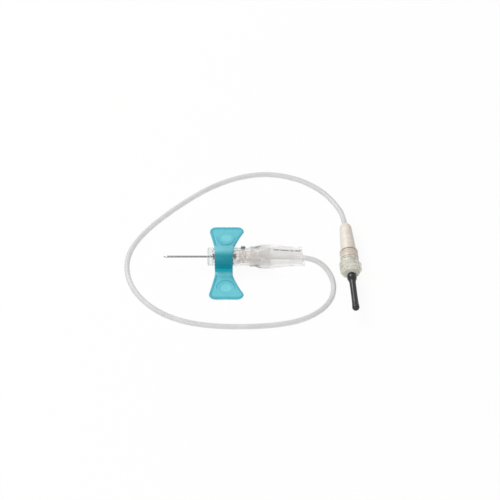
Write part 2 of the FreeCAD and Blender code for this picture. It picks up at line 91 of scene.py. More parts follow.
def metres(p):
    """A point in millimetres, in metres."""
    return tuple(MM * c for c in p)


def ease(t):
    """A smooth step from 0 to 1 as t goes from 0 to 1."""
    t = min(max(t, 0.0), 1.0)
    return t * t * (3 - 2 * t)


def soften(points, closed=True, pieces=5):
    """A profile with rounded corners. A point is (x, y), or (x, y, reach) with how far its round goes."""
    spots = [Vector(p[:2]) for p in points]
    out = []
    for i, p in enumerate(points):
        reach = p[2] if len(p) > 2 else 0
        if not reach or (not closed and i in (0, len(points) - 1)):
            out.append(spots[i])
            continue
        before = spots[i - 1] - spots[i]
        after = spots[(i + 1) % len(spots)] - spots[i]
        a = spots[i] + before.normalized() * min(reach, before.length * 0.49)
        b = spots[i] + after.normalized() * min(reach, after.length * 0.49)
        for k in range(pieces + 1):
            t = k / pieces
            out.append(a * (1 - t) ** 2 + spots[i] * (2 * t * (1 - t)) + b * t * t)
    return out


def sweep_curve(points, pieces=6):
    """A smooth line through (x, y) points."""
    spots = [Vector(p) for p in points]
    spots = [spots[0] * 2 - spots[1], *spots, spots[-1] * 2 - spots[-2]]
    out = []
    for a, b, c, d in zip(spots, spots[1:], spots[2:], spots[3:]):
        for k in range(pieces):
            t = k / pieces
            bend = (2 * a - 5 * b + 4 * c - d) * t * t + (3 * b - a - 3 * c + d) * t**3
            out.append(0.5 * (2 * b + (c - a) * t + bend))
    return out + [spots[-2]]


def arc(radius, start, end, steps):
    """Points (y, z) of an arc about the origin, between two angles in degrees from up towards +Y."""
    angles = [math.radians(start + k * (end - start) / steps) for k in range(steps + 1)]
    return [(radius * math.sin(a), radius * math.cos(a)) for a in angles]


def lathe(profile, closed=True, steps=96):
    """Turn a profile about X, with y as the radius. An open one starts and ends on the axis."""
    bm = bmesh.new()
    verts = [bm.verts.new((p[0], p[1], 0)) for p in profile]
    pairs = list(zip(verts, verts[1:])) + ([(verts[-1], verts[0])] if closed else [])
    edges = [bm.edges.new(pair) for pair in pairs]
    bmesh.ops.spin(
        bm,
        geom=verts + edges,
        cent=(0, 0, 0),
        axis=(1, 0, 0),
        angle=2 * math.pi,
        steps=steps,
        use_merge=True,
    )
    bmesh.ops.remove_doubles(bm, verts=bm.verts, dist=1e-5)
    bmesh.ops.recalc_face_normals(bm, faces=bm.faces)
    return bm


def extrude_x(outline, holes, start, end):
    """A plate of the (y, z) outline from x = start to end, with (y, z) holes."""
    bm = bmesh.new()
    edges = []
    for line in (outline, *holes):
        verts = [bm.verts.new((start, p[0], p[1])) for p in line]
        edges += [bm.edges.new(pair) for pair in zip(verts, verts[1:] + verts[:1])]
    filled = bmesh.ops.triangle_fill(bm, use_beauty=True, edges=edges)["geom"]
    faces = [part for part in filled if isinstance(part, bmesh.types.BMFace)]
    made = bmesh.ops.extrude_face_region(bm, geom=faces)["geom"]
    moved = [part for part in made if isinstance(part, bmesh.types.BMVert)]
    bmesh.ops.translate(bm, vec=(end - start, 0, 0), verts=moved)
    bmesh.ops.recalc_face_normals(bm, faces=bm.faces)
    return bm


def wind(bm, section, stretches, middle=0, per_turn=40):
    """Wind a closed (x, radius) section about X in stretches of (turns, rise a turn).

    It starts at the middle angle, in degrees from Z.
    """
    start = Matrix.Rotation(math.radians(middle), 3, "X")
    corners = [bm.verts.new(start @ Vector((p[0], 0, p[1]))) for p in section]
    ring = corners + [bm.edges.new(pair) for pair in zip(corners, corners[1:] + corners[:1])]
    ends = [list(ring)]
    for turns, rise in stretches:
        steps = round(turns * per_turn)
        ring = bmesh.ops.spin(
            bm,
            geom=ring,
            cent=(0, 0, 0),
            axis=(1, 0, 0),
            dvec=(rise * turns / steps, 0, 0),
            angle=2 * math.pi * turns,
            steps=steps,
        )["geom_last"]
    ends.append(ring)
    for end in ends:
        bmesh.ops.contextual_create(bm, geom=[part for part in end if isinstance(part, bmesh.types.BMEdge)])
    bmesh.ops.recalc_face_normals(bm, faces=bm.faces)
    return bm


def bevel_edges(bm, edges, width, segments=3):
    """Round these edges."""
    bmesh.ops.bevel(
        bm,
        geom=edges,
        offset=width,
        affect="EDGES",
        segments=segments,
        profile=0.5,
        material=-1,
        clamp_overlap=True,
    )
    bmesh.ops.recalc_face_normals(bm, faces=bm.faces)
    return bm


def sharp_edges(bm, angle):
    """The edges at which two faces turn by more than that angle, in degrees."""
    return [e for e in bm.edges if len(e.link_faces) == 2 and e.calc_face_angle(0) > math.radians(angle)]


def put_in_scene(name, data):
    """A new object with that data."""
    made = bpy.data.objects.new(name, data)
    bpy.context.scene.collection.objects.link(made)
    return made


def piece(name, bm, place, finishes, node, body=None, sharp=38):
    """Write a shape, drawn in millimetres in its own frame, as an object that stands for a CAD node.

    A face's material index says which of the finishes it has.
    """
    bm.transform(Matrix.Scale(MM, 4) @ place)
    mesh = bpy.data.meshes.new(name)
    bm.to_mesh(mesh)
    bm.free()
    mesh.shade_smooth()
    mesh.set_sharp_from_angle(angle=math.radians(sharp))
    for finish in finishes:
        mesh.materials.append(finish)
    made = put_in_scene(name, mesh)
    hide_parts(node)
    if body:
        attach(made, body)
    return made


# Ways to make a finish


def rgb(text):
    """A hex sRGB colour as linear RGBA."""
    parts = [int(text[i : i + 2], 16) / 255 for i in (0, 2, 4)]
    return tuple(c / 12.92 if c <= 0.04045 else ((c + 0.055) / 1.055) ** 2.4 for c in parts) + (1.0,)


# The sockets of a Mix node's two colours
FIRST = 6
SECOND = 7


def add(tree, kind, inputs=None, **settings):
    """A shader node with its settings and inputs; an input is a constant or another node's socket."""
    made = tree.nodes.new(kind)
    for key, setting in settings.items():
        setattr(made, key, setting)
    for key, value in (inputs or {}).items():
        if isinstance(value, bpy.types.NodeSocket):
            tree.links.new(value, made.inputs[key])
        else:
            made.inputs[key].default_value = value
    return made


def new_finish(name):
    """An empty material and its node tree."""
    made = bpy.data.materials.new(name)
    made.use_nodes = True
    made.node_tree.nodes.clear()
    return made, made.node_tree


def speckle(tree, millimetres, low, high, detail=3.0):
    """A value from low to high that varies over patches of about that size."""
    where = add(tree, "ShaderNodeTexCoord").outputs["Object"]
    noise = add(
        tree,
        "ShaderNodeTexNoise",
        {"Vector": where, "Scale": 1 / (millimetres * MM), "Detail": detail, "Roughness": 0.55},
    )
    spread = add(
        tree,
        "ShaderNodeMapRange",
        {"Value": noise.outputs["Fac"], "From Min": 0.3, "From Max": 0.7, "To Min": low, "To Max": high},
    )
    return spread.outputs["Result"]


def clear_finish(name, tint, ior, rough, haze, patch, shade, bump=0.0):
    """A clear moulded plastic.

    Haze is how much of it is milky, and shade is the tint of its shadow. Patch is the size of its flow marks
    and bump their depth, both in millimetres.
    """
    made, tree = new_finish(name)
    marks = speckle(tree, patch, 0.0, 1.0, detail=1.0)
    gloss = add(tree, "ShaderNodeMapRange", {"Value": marks, "To Min": rough * 0.5, "To Max": rough * 1.5})
    relief = add(tree, "ShaderNodeBump", {"Height": marks, "Strength": 1.0, "Distance": bump * MM})
    body = add(
        tree,
        "ShaderNodeBsdfPrincipled",
        {
            "Base Color": rgb(tint),
            "Roughness": gloss.outputs["Result"],
            "IOR": ior,
            "Transmission Weight": 1.0 - haze,
            "Normal": relief.outputs["Normal"],
        },
    )
    light = add(tree, "ShaderNodeLightPath")
    thin = add(tree, "ShaderNodeBsdfTransparent", {"Color": rgb(shade)})
    mix = add(
        tree,
        "ShaderNodeMixShader",
        {0: light.outputs["Is Shadow Ray"], 1: body.outputs[0], 2: thin.outputs[0]},
    )
    add(tree, "ShaderNodeOutputMaterial", {"Surface": mix.outputs[0]})
    return made


def solid_finish(name, dark, light, patch, rough, bump, metallic=0.0):
    """An opaque finish. Its colour, gloss and relief vary over patches, and bump is the relief's depth."""
    made, tree = new_finish(name)
    cloud = speckle(tree, patch, 0.0, 1.0)
    tint = add(
        tree,
        "ShaderNodeMix",
        {"Factor": cloud, FIRST: rgb(dark), SECOND: rgb(light)},
        data_type="RGBA",
    )
    grain = speckle(tree, patch * 0.3, 0.0, 1.0)
    relief = add(tree, "ShaderNodeBump", {"Height": grain, "Strength": 1.0, "Distance": bump * MM})
    body = add(
        tree,
        "ShaderNodeBsdfPrincipled",
        {
            "Base Color": tint.outputs[2],
            "Metallic": metallic,
            "Roughness": speckle(tree, patch * 0.4, rough * 0.75, rough * 1.25),
            "Normal": relief.outputs["Normal"],
        },
    )
    add(tree, "ShaderNodeOutputMaterial", {"Surface": body.outputs[0]})
    return made


# Clear and milky finishes

# Injection-moulded clear polycarbonate with faint flow marks. It lays a slight grey cast on white.
polycarbonate = clear_finish("clear polycarbonate", "F1F0EF", 1.36, 0.08, 0.1, 2.5, "F4F4F4", bump=0.002)

# The same with painted shade: a grey tint on the front of the thick front wall.
nose_painted_shade_plastic = clear_finish("clear nose plastic, painted shade", "CDD5D8", 1.36, 0.16, 0.3, 1.2, "EEF0F0", bump=0.002)

# The same in the low ribs on top of the rear guide, with painted shade: a grey tint draws their steep sides
# as grey dashes.
rib_painted_shade_plastic = clear_finish("clear rib plastic, painted shade", "B6B6B6", 1.36, 0.2, 0.5, 1.2, "E0E0E0", bump=0.002)

# The luer adapter's clear plastic is thicker and a little yellowed, and its threads scatter the light.
adapter_plastic = clear_finish("clear adapter plastic", "E5E4DD", 1.3, 0.42, 0.5, 1.8, "F1F0E8")

# Translucent moulded polypropylene of the hub, slightly pink against the clear barrel.
hub_plastic = clear_finish("translucent hub plastic", "EEE5E1", 1.33, 0.35, 0.45, 1.5, "EEE8E5")

# Painted shade on its square edges: a dark tint makes them look darker than its walls.
hub_edge_painted_shade = clear_finish("hub edge plastic, painted shade", "6E6260", 1.33, 0.35, 0.6, 1.5, "C8C0BD")

# Nearly clear acetal of the flexible latch, and of the plug under the black button.
latch_plastic = clear_finish("latch plastic", "E9E6E2", 1.49, 0.2, 0.25, 1.0, "D4D2D0", bump=0.002)


def tubing_finish():
    """Extruded soft vinyl: a glossy skin over a milky wall that lets a little of the table through."""
    made, tree = new_finish("soft vinyl tubing")
    drawn = speckle(tree, 9.0, 0.0, 1.0, detail=1.0)
    tint = add(
        tree,
        "ShaderNodeMix",
        {"Factor": drawn, FIRST: rgb("DADADA"), SECOND: rgb("E0E0E0")},
        data_type="RGBA",
    )
    skin = add(
        tree,
        "ShaderNodeBsdfPrincipled",
        {"Base Color": tint.outputs[2], "Roughness": speckle(tree, 3.0, 0.26, 0.36), "IOR": 1.5},
    )
    soak = add(tree, "ShaderNodeBsdfTranslucent", {"Color": tint.outputs[2]})
    wall = add(tree, "ShaderNodeMixShader", {0: 0.3, 1: skin.outputs[0], 2: soak.outputs[0]})
    through = add(tree, "ShaderNodeBsdfTransparent", {"Color": rgb("F4F4F4")})
    edge = add(tree, "ShaderNodeLayerWeight", {"Blend": 0.5})
    clear = add(
        tree,
        "ShaderNodeMapRange",
        {"Value": edge.outputs["Facing"], "From Min": 0.05, "From Max": 0.6, "To Min": 0.3, "To Max": 0.04},
    )
    tube = add(
        tree,
        "ShaderNodeMixShader",
        {0: clear.outputs["Result"], 1: wall.outputs[0], 2: through.outputs[0]},
    )
    light = add(tree, "ShaderNodeLightPath")
    shade = add(tree, "ShaderNodeBsdfTransparent", {"Color": rgb("EEEEEE")})
    mix = add(
        tree,
        "ShaderNodeMixShader",
        {0: light.outputs["Is Shadow Ray"], 1: tube.outputs[0], 2: shade.outputs[0]},
    )
    add(tree, "ShaderNodeOutputMaterial", {"Surface": mix.outputs[0]})
    return made


tube_vinyl = tubing_finish()


# Solid finishes


def unshaded_part(tree, across):
    """1 in the wings and on the saddle's far half, and 0 on its near flank, which gets painted shade."""
    far_side = add(
        tree,
        "ShaderNodeMapRange",
        {"Value": across, "From Min": -2.9 * MM, "From Max": 0.5 * MM},
        interpolation_type="SMOOTHSTEP",
    )
    near_side = add(
        tree,
        "ShaderNodeMapRange",
        {"Value": across, "From Min": -5.0 * MM, "From Max": -5.5 * MM},
        interpolation_type="SMOOTHSTEP",
    )
    either = add(
        tree,
        "ShaderNodeMath",
        {0: far_side.outputs["Result"], 1: near_side.outputs["Result"]},
        operation="MAXIMUM",
    )
    return either.outputs[0]


def painted_shade_teal(tree, height):
    """Deep teal of painted shade for the saddle's near flank, with painted light from the pale table low
    down.
    """
    # Painted light: the deep teal lightens below 3.4 mm, as if the table lit it.
    low = add(
        tree,
        "ShaderNodeMapRange",
        {"Value": height, "From Min": 3.4 * MM, "From Max": 2.0 * MM},
        interpolation_type="SMOOTHSTEP",
    )
    colour = add(
        tree,
        "ShaderNodeMix",
        {"Factor": low.outputs["Result"], FIRST: rgb("00A0B2"), SECOND: rgb("22CADC")},
        data_type="RGBA",
    )
    return colour.outputs[2]


def thin_teal(tree, across, height):
    """Pale teal of a wing. What stands higher is thicker, so rim and ridge are deeper than the field."""
    reach = add(tree, "ShaderNodeMath", {0: across}, operation="ABSOLUTE")
    in_wing = add(
        tree, "ShaderNodeMapRange", {"Value": reach.outputs[0], "From Min": 6.2 * MM, "From Max": 7.2 * MM}
    )
    full = add(tree, "ShaderNodeMapRange", {"Value": height, "From Min": 0.5 * MM, "From Max": 1.05 * MM})
    ridges = add(
        tree,
        "ShaderNodeMath",
        {0: full.outputs["Result"], 1: in_wing.outputs["Result"]},
        operation="MULTIPLY",
    )
    cloud = speckle(tree, 3.0, 0.0, 1.0)
    shades = add(tree, "ShaderNodeMath", {0: cloud, 1: 0.2, 2: ridges.outputs[0]}, operation="MULTIPLY_ADD")
    colour = add(
        tree,
        "ShaderNodeMix",
        {"Factor": shades.outputs[0], FIRST: rgb("82DAE4"), SECOND: rgb("52BACA")},
        data_type="RGBA",
    )
    return colour.outputs[2]


def teal_finish():
    """Moulded soft teal vinyl: thin wings let the pale table through, and the saddle's near flank has
    painted shade.
    """
    made, tree = new_finish("teal wing vinyl")
    where = add(tree, "ShaderNodeTexCoord").outputs["Object"]
    split = add(tree, "ShaderNodeSeparateXYZ", {"Vector": where})
    across = split.outputs["Y"]
    height = split.outputs["Z"]
    # Painted shade: the saddle's near flank takes the deep teal, the rest the pale one.
    tint = add(
        tree,
        "ShaderNodeMix",
        {
            "Factor": unshaded_part(tree, across),
            FIRST: painted_shade_teal(tree, height),
            SECOND: thin_teal(tree, across, height),
        },
        data_type="RGBA",
    )
    grain = speckle(tree, 0.7, 0.0, 1.0)
    relief = add(tree, "ShaderNodeBump", {"Height": grain, "Strength": 1.0, "Distance": 0.01 * MM})
    body = add(
        tree,
        "ShaderNodeBsdfPrincipled",
        {
            "Base Color": tint.outputs[2],
            "Roughness": speckle(tree, 1.2, 0.38, 0.52),
            "IOR": 1.5,
            "Normal": relief.outputs["Normal"],
        },
    )
    glow = add(tree, "ShaderNodeBsdfTranslucent", {"Color": tint.outputs[2]})
    mix = add(tree, "ShaderNodeMixShader", {0: 0.3, 1: body.outputs[0], 2: glow.outputs[0]})
    add(tree, "ShaderNodeOutputMaterial", {"Surface": mix.outputs[0]})
    return made


def cream_finish():
    """Moulded cream plastic of the connector, satin, with painted shade on both flanks, by which way each
    face turns.
    """
    made, tree = new_finish("cream connector plastic")
    # Painted shade: how far a face turns to either flank darkens its colour.
    side = CHAIN.to_3x3() @ Vector((0, 1, 0))
    facing = add(tree, "ShaderNodeTexCoord").outputs["Normal"]
    turned = add(tree, "ShaderNodeVectorMath", {0: facing, 1: side}, operation="DOT_PRODUCT")
    cloud = speckle(tree, 2.2, 0.0, 1.0)
    tint = add(
        tree,
        "ShaderNodeMix",
        {"Factor": cloud, FIRST: rgb("DBD1C5"), SECOND: rgb("E5DDD3")},
        data_type="RGBA",
    )
    # Painted shade on the flank to the right as seen, and then on the one to the left
    for start, end, shade in ((0.36, 0.52, "D3CDC2"), (-0.62, -0.85, "D2D0CA")):
        flank = add(
            tree,
            "ShaderNodeMapRange",
            {"Value": turned.outputs["Value"], "From Min": start, "From Max": end},
            interpolation_type="SMOOTHSTEP",
        )
        tint = add(
            tree,
            "ShaderNodeMix",
            {"Factor": flank.outputs["Result"], FIRST: tint.outputs[2], SECOND: rgb(shade)},
            data_type="RGBA",
        )
    grain = speckle(tree, 0.7, 0.0, 1.0)
    relief = add(tree, "ShaderNodeBump", {"Height": grain, "Strength": 1.0, "Distance": 0.003 * MM})
    body = add(
        tree,
        "ShaderNodeBsdfPrincipled",
        {
            "Base Color": tint.outputs[2],
            "Roughness": speckle(tree, 0.9, 0.26, 0.44),
            "Normal": relief.outputs["Normal"],
        },
    )
    add(tree, "ShaderNodeOutputMaterial", {"Surface": body.outputs[0]})
    return made


teal = teal_finish()
cream = cream_finish()

# The same plastic, warmer and a little deeper on the luer flange.
cream_flange = solid_finish("cream flange plastic", "C4B7A9", "CFC3B6", 2.2, 0.35, 0.003)

# Painted shade on its rim where the flange starts: a darker brown tint.
cream_rim_painted_shade = solid_finish("flange rim, painted shade", "8E7663", "9E8874", 1.2, 0.4, 0.003)

# Drawn and polished stainless tube, nearly a mirror. Its fine marks are coarser than real, to show.
needle_steel = solid_finish("polished stainless tube", "7A7A7C", "8E8E90", 0.6, 0.2, 0.0008, metallic=1.0)

# Drawn spring wire, darker and duller than the needle, with the same coarse marks.
spring_steel = solid_finish("spring wire", "190E10", "281A1C", 0.5, 0.4, 0.002, metallic=1.0)

# Moulded black button with painted sheen: its colour is grey, for the light on its satin grain, which is
# drawn coarser than real.
button_painted_sheen_plastic = solid_finish("black button plastic, painted sheen", "525252", "606060", 0.4, 0.3, 0.004)

# Dipped soft black rubber, shiny and faintly uneven.
rubber = solid_finish("black sleeve rubber", "0B0B0B", "171717", 1.6, 0.26, 0.006)


# The barrel and what it holds; x runs from the nose

BARREL_LENGTH = 27.0
BARREL_RADIUS = 3.9
BORE_RADIUS = 2.9
NOSE_WALL = 2.1
NEEDLE_HOLE = 0.6


def front_barrel():
    """Clear tube with a thick front wall round the needle's hole."""
    shell = lathe(
        soften(
            [
                (0, NEEDLE_HOLE, 0.2),
                (0, BARREL_RADIUS, 0.7),
                (BARREL_LENGTH, BARREL_RADIUS, 0.1),
                (BARREL_LENGTH, BORE_RADIUS, 0.1),
                (NOSE_WALL, BORE_RADIUS, 0.15),
                (NOSE_WALL, NEEDLE_HOLE, 0.1),
            ]
        )
    )
    # Painted shade: the faces within 1 mm of the nose's front get the grey tint.
    painted_shade_front = 1.0
    for face in shell.faces:
        face.material_index = 1 if face.calc_center_median().x < painted_shade_front else 0
    finishes = [polycarbonate, nose_painted_shade_plastic]
    piece("front_barrel_shell", shell, BARREL, finishes, "front_barrel", "housing")


GUIDE_START = 18.2
GUIDE_END = 42.0
GUIDE_SHOULDER = 23.8
GUIDE_RADIUS = 5.1
SOCKET_RADIUS = 3.95
TAIL_RADIUS = 4.15
TAIL_SLANT = 1.8
RIB_WIDTH = 0.55
RIB_HEIGHT = 0.32
# Where each rib starts, and its length
RIBS = ((28.0, 2.6), (31.2, 3.6), (35.4, 1.5), (37.6, 2.4))


def add_rib(bm, skin, start, length):
    """A low bar that follows the skin on the side that is turned up."""
    ends = [min(skin, key=lambda p: abs(p.x - x)) for x in (start, start + length)]
    slope = math.atan2(ends[1].y - ends[0].y, ends[1].x - ends[0].x)
    bar = bmesh.ops.create_cube(bm, size=1.0)["verts"]
    bmesh.ops.scale(bm, verts=bar, vec=(length, RIB_WIDTH, RIB_HEIGHT))
    bmesh.ops.rotate(bm, verts=bar, cent=(0, 0, 0), matrix=Matrix.Rotation(-slope, 3, "Y"))
    bmesh.ops.translate(bm, verts=bar, vec=(start + length / 2, 0, (ends[0].y + ends[1].y) / 2))
    turned_up = Matrix.Rotation(math.radians(BARREL_ROLL), 3, "X")
    bmesh.ops.rotate(bm, verts=bar, cent=(0, 0, 0), matrix=turned_up)
    # Painted shade: the rib's faces get the grey tint.
    for face in {face for vert in bar for face in vert.link_faces}:
        face.material_index = 1


def rear_barrel():
    """Clear guide that swells behind its socket, narrows to a slanted mouth and has low ribs on top."""
    skin = sweep_curve(
        [
            (GUIDE_START, 4.3), (20.2, 4.36), (21.2, 4.6), (22.1, 4.87), (23.0, 5.04),
            (GUIDE_SHOULDER, GUIDE_RADIUS),
        ]
    )[:-1]
    skin += sweep_curve(
        [
            (GUIDE_SHOULDER, GUIDE_RADIUS), (27.4, GUIDE_RADIUS), (29.6, 4.98), (31.4, 4.76), (33.0, 4.56),
            (34.6, 4.43), (38.0, 4.22), (GUIDE_END, TAIL_RADIUS),
        ]
    )
    socket_end = BARREL_LENGTH + 0.05
    bore = [(GUIDE_END, 2.5), (36.5, 2.5), (36.5, 3.3), (socket_end, 3.3), (socket_end, SOCKET_RADIUS)]
    shell = lathe([Vector((GUIDE_START, SOCKET_RADIUS)), *skin] + [Vector(p) for p in bore])
    for vert in shell.verts:
        slant = TAIL_SLANT * min(max((vert.co.z + TAIL_RADIUS) / (2 * TAIL_RADIUS), 0), 1)
        if vert.co.x > GUIDE_END - 0.1:
            vert.co.x -= slant
        elif vert.co.x > GUIDE_END - 2:
            vert.co.x -= slant * 0.5
    for start, length in RIBS:
        add_rib(shell, skin, start, length)
    bevel_edges(shell, sharp_edges(shell, 50), 0.12, 2)
    finishes = [polycarbonate, rib_painted_shade_plastic]
    piece("rear_barrel_shell", shell, BARREL, finishes, "rear_barrel", "housing")


HUB_REAR = 22.8
FLANGE_REAR = 13.9
FLANGE_RADIUS = 2.65
GROOVE_RADIUS = 1.7
HUB_RADIUS = 2.35


def needle_hub():
    """Moulded hub: a boss for the spring, a flange, the latch's groove and a body that takes the tubing."""
    hub = lathe(
        soften(
            [
                (9.6, NEEDLE_BORE), (9.6, 0.75, 0.1), (12.5, 0.75, 0.1), (12.5, FLANGE_RADIUS, 0.1),
                (FLANGE_REAR, FLANGE_RADIUS, 0.1), (FLANGE_REAR + 0.05, GROOVE_RADIUS, 0.1),
                (16.65, GROOVE_RADIUS, 0.1), (16.65, HUB_RADIUS, 0.12), (HUB_REAR, HUB_RADIUS, 0.2),
                (HUB_REAR, TUBE_BORE, 0.1), (17.4, TUBE_BORE), (17.4, NEEDLE_BORE),
            ]
        ),
        steps=64,
    )
    # Painted shade: the flange's rear face and the hub's rear end get the dark tint.
    for face in hub.faces:
        middle = face.calc_center_median()
        on_flange = 13.8 < middle.x < 14.1 and math.hypot(middle.y, middle.z) > GROOVE_RADIUS + 0.2
        if on_flange or middle.x > HUB_REAR - 0.25:
            face.material_index = 1
    finishes = [hub_plastic, hub_edge_painted_shade]
    piece("needle_hub_moulding", hub, BARREL, finishes, "needle_hub", "needle_carrier")


COIL_RADIUS = 1.09
WIRE_RADIUS = 0.16
COIL_START = 2.31
COIL_LENGTH = 9.98
CLOSED_TURNS = 3.2
CLOSED_PITCH = 0.35
OPEN_TURNS = 5.6


def retraction_spring():
    """Spring with closed end turns, held between the nose wall and the hub's flange."""
    wire = []
    for k in range(10):
        a = k * math.pi / 5
        wire.append((COIL_START + WIRE_RADIUS * math.cos(a), COIL_RADIUS + WIRE_RADIUS * math.sin(a)))
    closed = (CLOSED_TURNS, CLOSED_PITCH)
    open_pitch = (COIL_LENGTH - 2 * CLOSED_TURNS * CLOSED_PITCH) / OPEN_TURNS
    coil = wind(bmesh.new(), wire, (closed, (OPEN_TURNS, open_pitch), closed))
    finishes = [spring_steel]
    spring = piece("retraction_spring_coil", coil, BARREL, finishes, "retraction_spring")
    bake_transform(spring)


BUTTON_STATION = 15.3
BUTTON_MIDDLE = 3.8
BUTTON_LENGTH = 2.2
BUTTON_WIDTH = 2.1
BUTTON_HEIGHT = 1.5
BUTTON_TAPER = 0.85
BUTTON_BLACK_FROM = 3.9


def release_button():
    """Black button with rounded edges; its clear plug goes down through the barrel's window."""
    button = bmesh.new()
    bmesh.ops.create_cube(button, size=1.0)
    for vert in button.verts:
        taper = BUTTON_TAPER if vert.co.z > 0 else 1.0
        x = BUTTON_STATION + vert.co.x * BUTTON_LENGTH * taper
        y = vert.co.y * BUTTON_WIDTH * taper
        vert.co = Vector((x, y, BUTTON_MIDDLE + vert.co.z * BUTTON_HEIGHT))
    bevel_edges(button, sharp_edges(button, 40), 0.28, 4)
    whole = [*button.verts, *button.edges, *button.faces]
    bmesh.ops.bisect_plane(button, geom=whole, plane_co=(0, 0, BUTTON_BLACK_FROM), plane_no=(0, 0, 1))
    for face in button.faces:
        # Painted sheen: the black part above the plug is grey.
        face.material_index = 1 if face.calc_center_median().z < BUTTON_BLACK_FROM else 0
    piece(
        "release_button_cap",
        button,
        BARREL,
        [button_painted_sheen_plastic, latch_plastic],
        "release_button",
        "button",
        sharp=60,
    )


LATCH_OUTER = 2.8
LATCH_INNER = 1.86
LATCH_MOUTH = 40
LATCH_FRONT = 14.9
LATCH_REAR = 15.7


def release_latch():
    """Clip in the hub's groove with an open mouth under the button, which pushes it wider."""
    jaw = arc(LATCH_OUTER, LATCH_MOUTH, 180, 24)
    jaw += [(-y, z) for y, z in reversed(jaw[:-1])]
    jaw += [(LATCH_INNER * y / LATCH_OUTER, LATCH_INNER * z / LATCH_OUTER) for y, z in reversed(jaw)]
    clip = extrude_x(jaw, [], LATCH_FRONT, LATCH_REAR)
    bevel_edges(clip, sharp_edges(clip, 60), 0.06, 2)
    latch = piece("latch_clip", clip, BARREL, [latch_plastic], "release_latch", "housing")
    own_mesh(latch)


front_barrel()
rear_barrel()
needle_hub()
retraction_spring()
for node_name in ("needle", "adapter_needle"):
    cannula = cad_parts[node_name]
    cannula.data.materials.clear()
    cannula.data.materials.append(needle_steel)
release_button()
release_latch()


# The saddle and the wings; x runs from the collar's middle

SADDLE_RADIUS = 4.65
SADDLE_BORE = 3.94
FOOT_HALF = 4.9
FOOT_HEIGHT = 1.0


def wing_saddle():
    """Arch over the barrel on a flat foot that carries the wings; its end rims are rounded."""
    arch = [
        (SADDLE_RADIUS * math.cos(a), AXIS_HEIGHT + SADDLE_RADIUS * math.sin(a))
        for a in [math.radians(k * 180 / 48) for k in range(49)]
    ]
    flank = SADDLE_RADIUS
    foot = soften(
        [(FOOT_HALF, 0), (FOOT_HALF, FOOT_HEIGHT), (flank, FOOT_HEIGHT, 0.25), (flank, AXIS_HEIGHT)],
        closed=False,
    )[:-1]
    section = foot + [Vector(p) for p in arch] + [Vector((-p.x, p.y)) for p in reversed(foot)]
    tunnel = [
        (SADDLE_BORE * math.cos(a), AXIS_HEIGHT + SADDLE_BORE * math.sin(a))
        for a in [math.radians(k * 360 / 96) for k in range(96)]
    ]
    saddle = extrude_x(section, [tunnel], -COLLAR_HALF, COLLAR_HALF)
    rims = [
        e
        for e in sharp_edges(saddle, 60)
        if min(v.co.z for v in e.verts) > FOOT_HEIGHT - 0.1 and abs(e.verts[0].co.x - e.verts[1].co.x) < 1e-6
    ]
    bevel_edges(saddle, rims, 0.16)
    piece("wing_saddle", saddle, COLLAR, [teal], "wing_collar", "housing")


WING = {"front": -6.3, "rear": 8.6, "reach": 18.9, "neck": 6.3, "corner": 2.5, "root": 4.7}
HALF_WING = 0.5
RIM_ROUND = 0.45
RIM_WIDTH = 0.75
FIELD_START = 6.0
FIELD_DEPTH = 0.25
PAD_MIDDLE = (0.6, 13.2)
PAD_SQUEEZE = 0.92
RIDGE_RADIUS = 3.9
RIDGE_WIDTH = 0.4
RIDGE_HEIGHT = 0.26
RIDGE_END = 14.2
DISH_RADIUS = 2.5
DISH_DEPTH = 0.2
FILLET_END = 5.3
FILLET_HEIGHT = 0.35
WING_COLUMNS = 72
WING_ROWS = 90
TIP_STEPS = 40


def wing_edges(y):
    """Front and rear edge of a wing at a distance y from the axis, with round corners at the tip."""
    low = WING["neck"]
    high = WING["reach"] - WING["corner"]
    t = min(max((y - low) / (high - low), 0.0), 1.0)
    front = -COLLAR_HALF + (WING["front"] + COLLAR_HALF) * (t * 0.45 + 0.55 * t**1.3)
    rear = COLLAR_HALF + (WING["rear"] - COLLAR_HALF) * (t**1.35 * 0.8 + 0.2 * t)
    if y > high:
        shrink = WING["corner"] - math.sqrt(max(WING["corner"] ** 2 - (y - high) ** 2, 0.0))
        front += shrink
        rear -= shrink
    return front, rear


def wing_row(t):
    """Distance from the axis of a wing's row, from 0 at the root to 1 at the tip, where rows lie closer."""
    return WING["root"] + (WING["reach"] - WING["root"]) * math.sin(t * math.pi / 2) ** 0.9


def wing_border():
    """Points along a wing's two long edges and its tip."""
    border = []
    for k in range(WING_ROWS + 1):
        y = wing_row(k / WING_ROWS)
        border += [Vector((x, y)) for x in wing_edges(y)]
    tip = WING["reach"]
    front, rear = wing_edges(tip)
    return border + [Vector((front + (rear - front) * k / TIP_STEPS, tip)) for k in range(TIP_STEPS + 1)]


def wing_top(x, y, gap, skin):
    """Height of the upper face: rim, sunken field, arched ridge, shallow dish and a fillet at the root."""
    sunk = FIELD_DEPTH * ease((gap - RIM_WIDTH) / 0.45) * ease((y - FIELD_START) / 0.8)
    off = math.hypot(x - PAD_MIDDLE[0], (y - PAD_MIDDLE[1]) / PAD_SQUEEZE)
    arch = math.exp(-(((off - RIDGE_RADIUS) / RIDGE_WIDTH) ** 2))
    ridge = RIDGE_HEIGHT * arch * ease((RIDGE_END - y) / 1.6)
    dish = DISH_DEPTH * ease((DISH_RADIUS - off) / 0.5)
    fillet = FILLET_HEIGHT * ease((FILLET_END - y) / 0.6) ** 2
    return HALF_WING + skin - (sunk - ridge + dish) * min(gap / 0.6, 1) + fillet * min(gap / 0.5, 1)


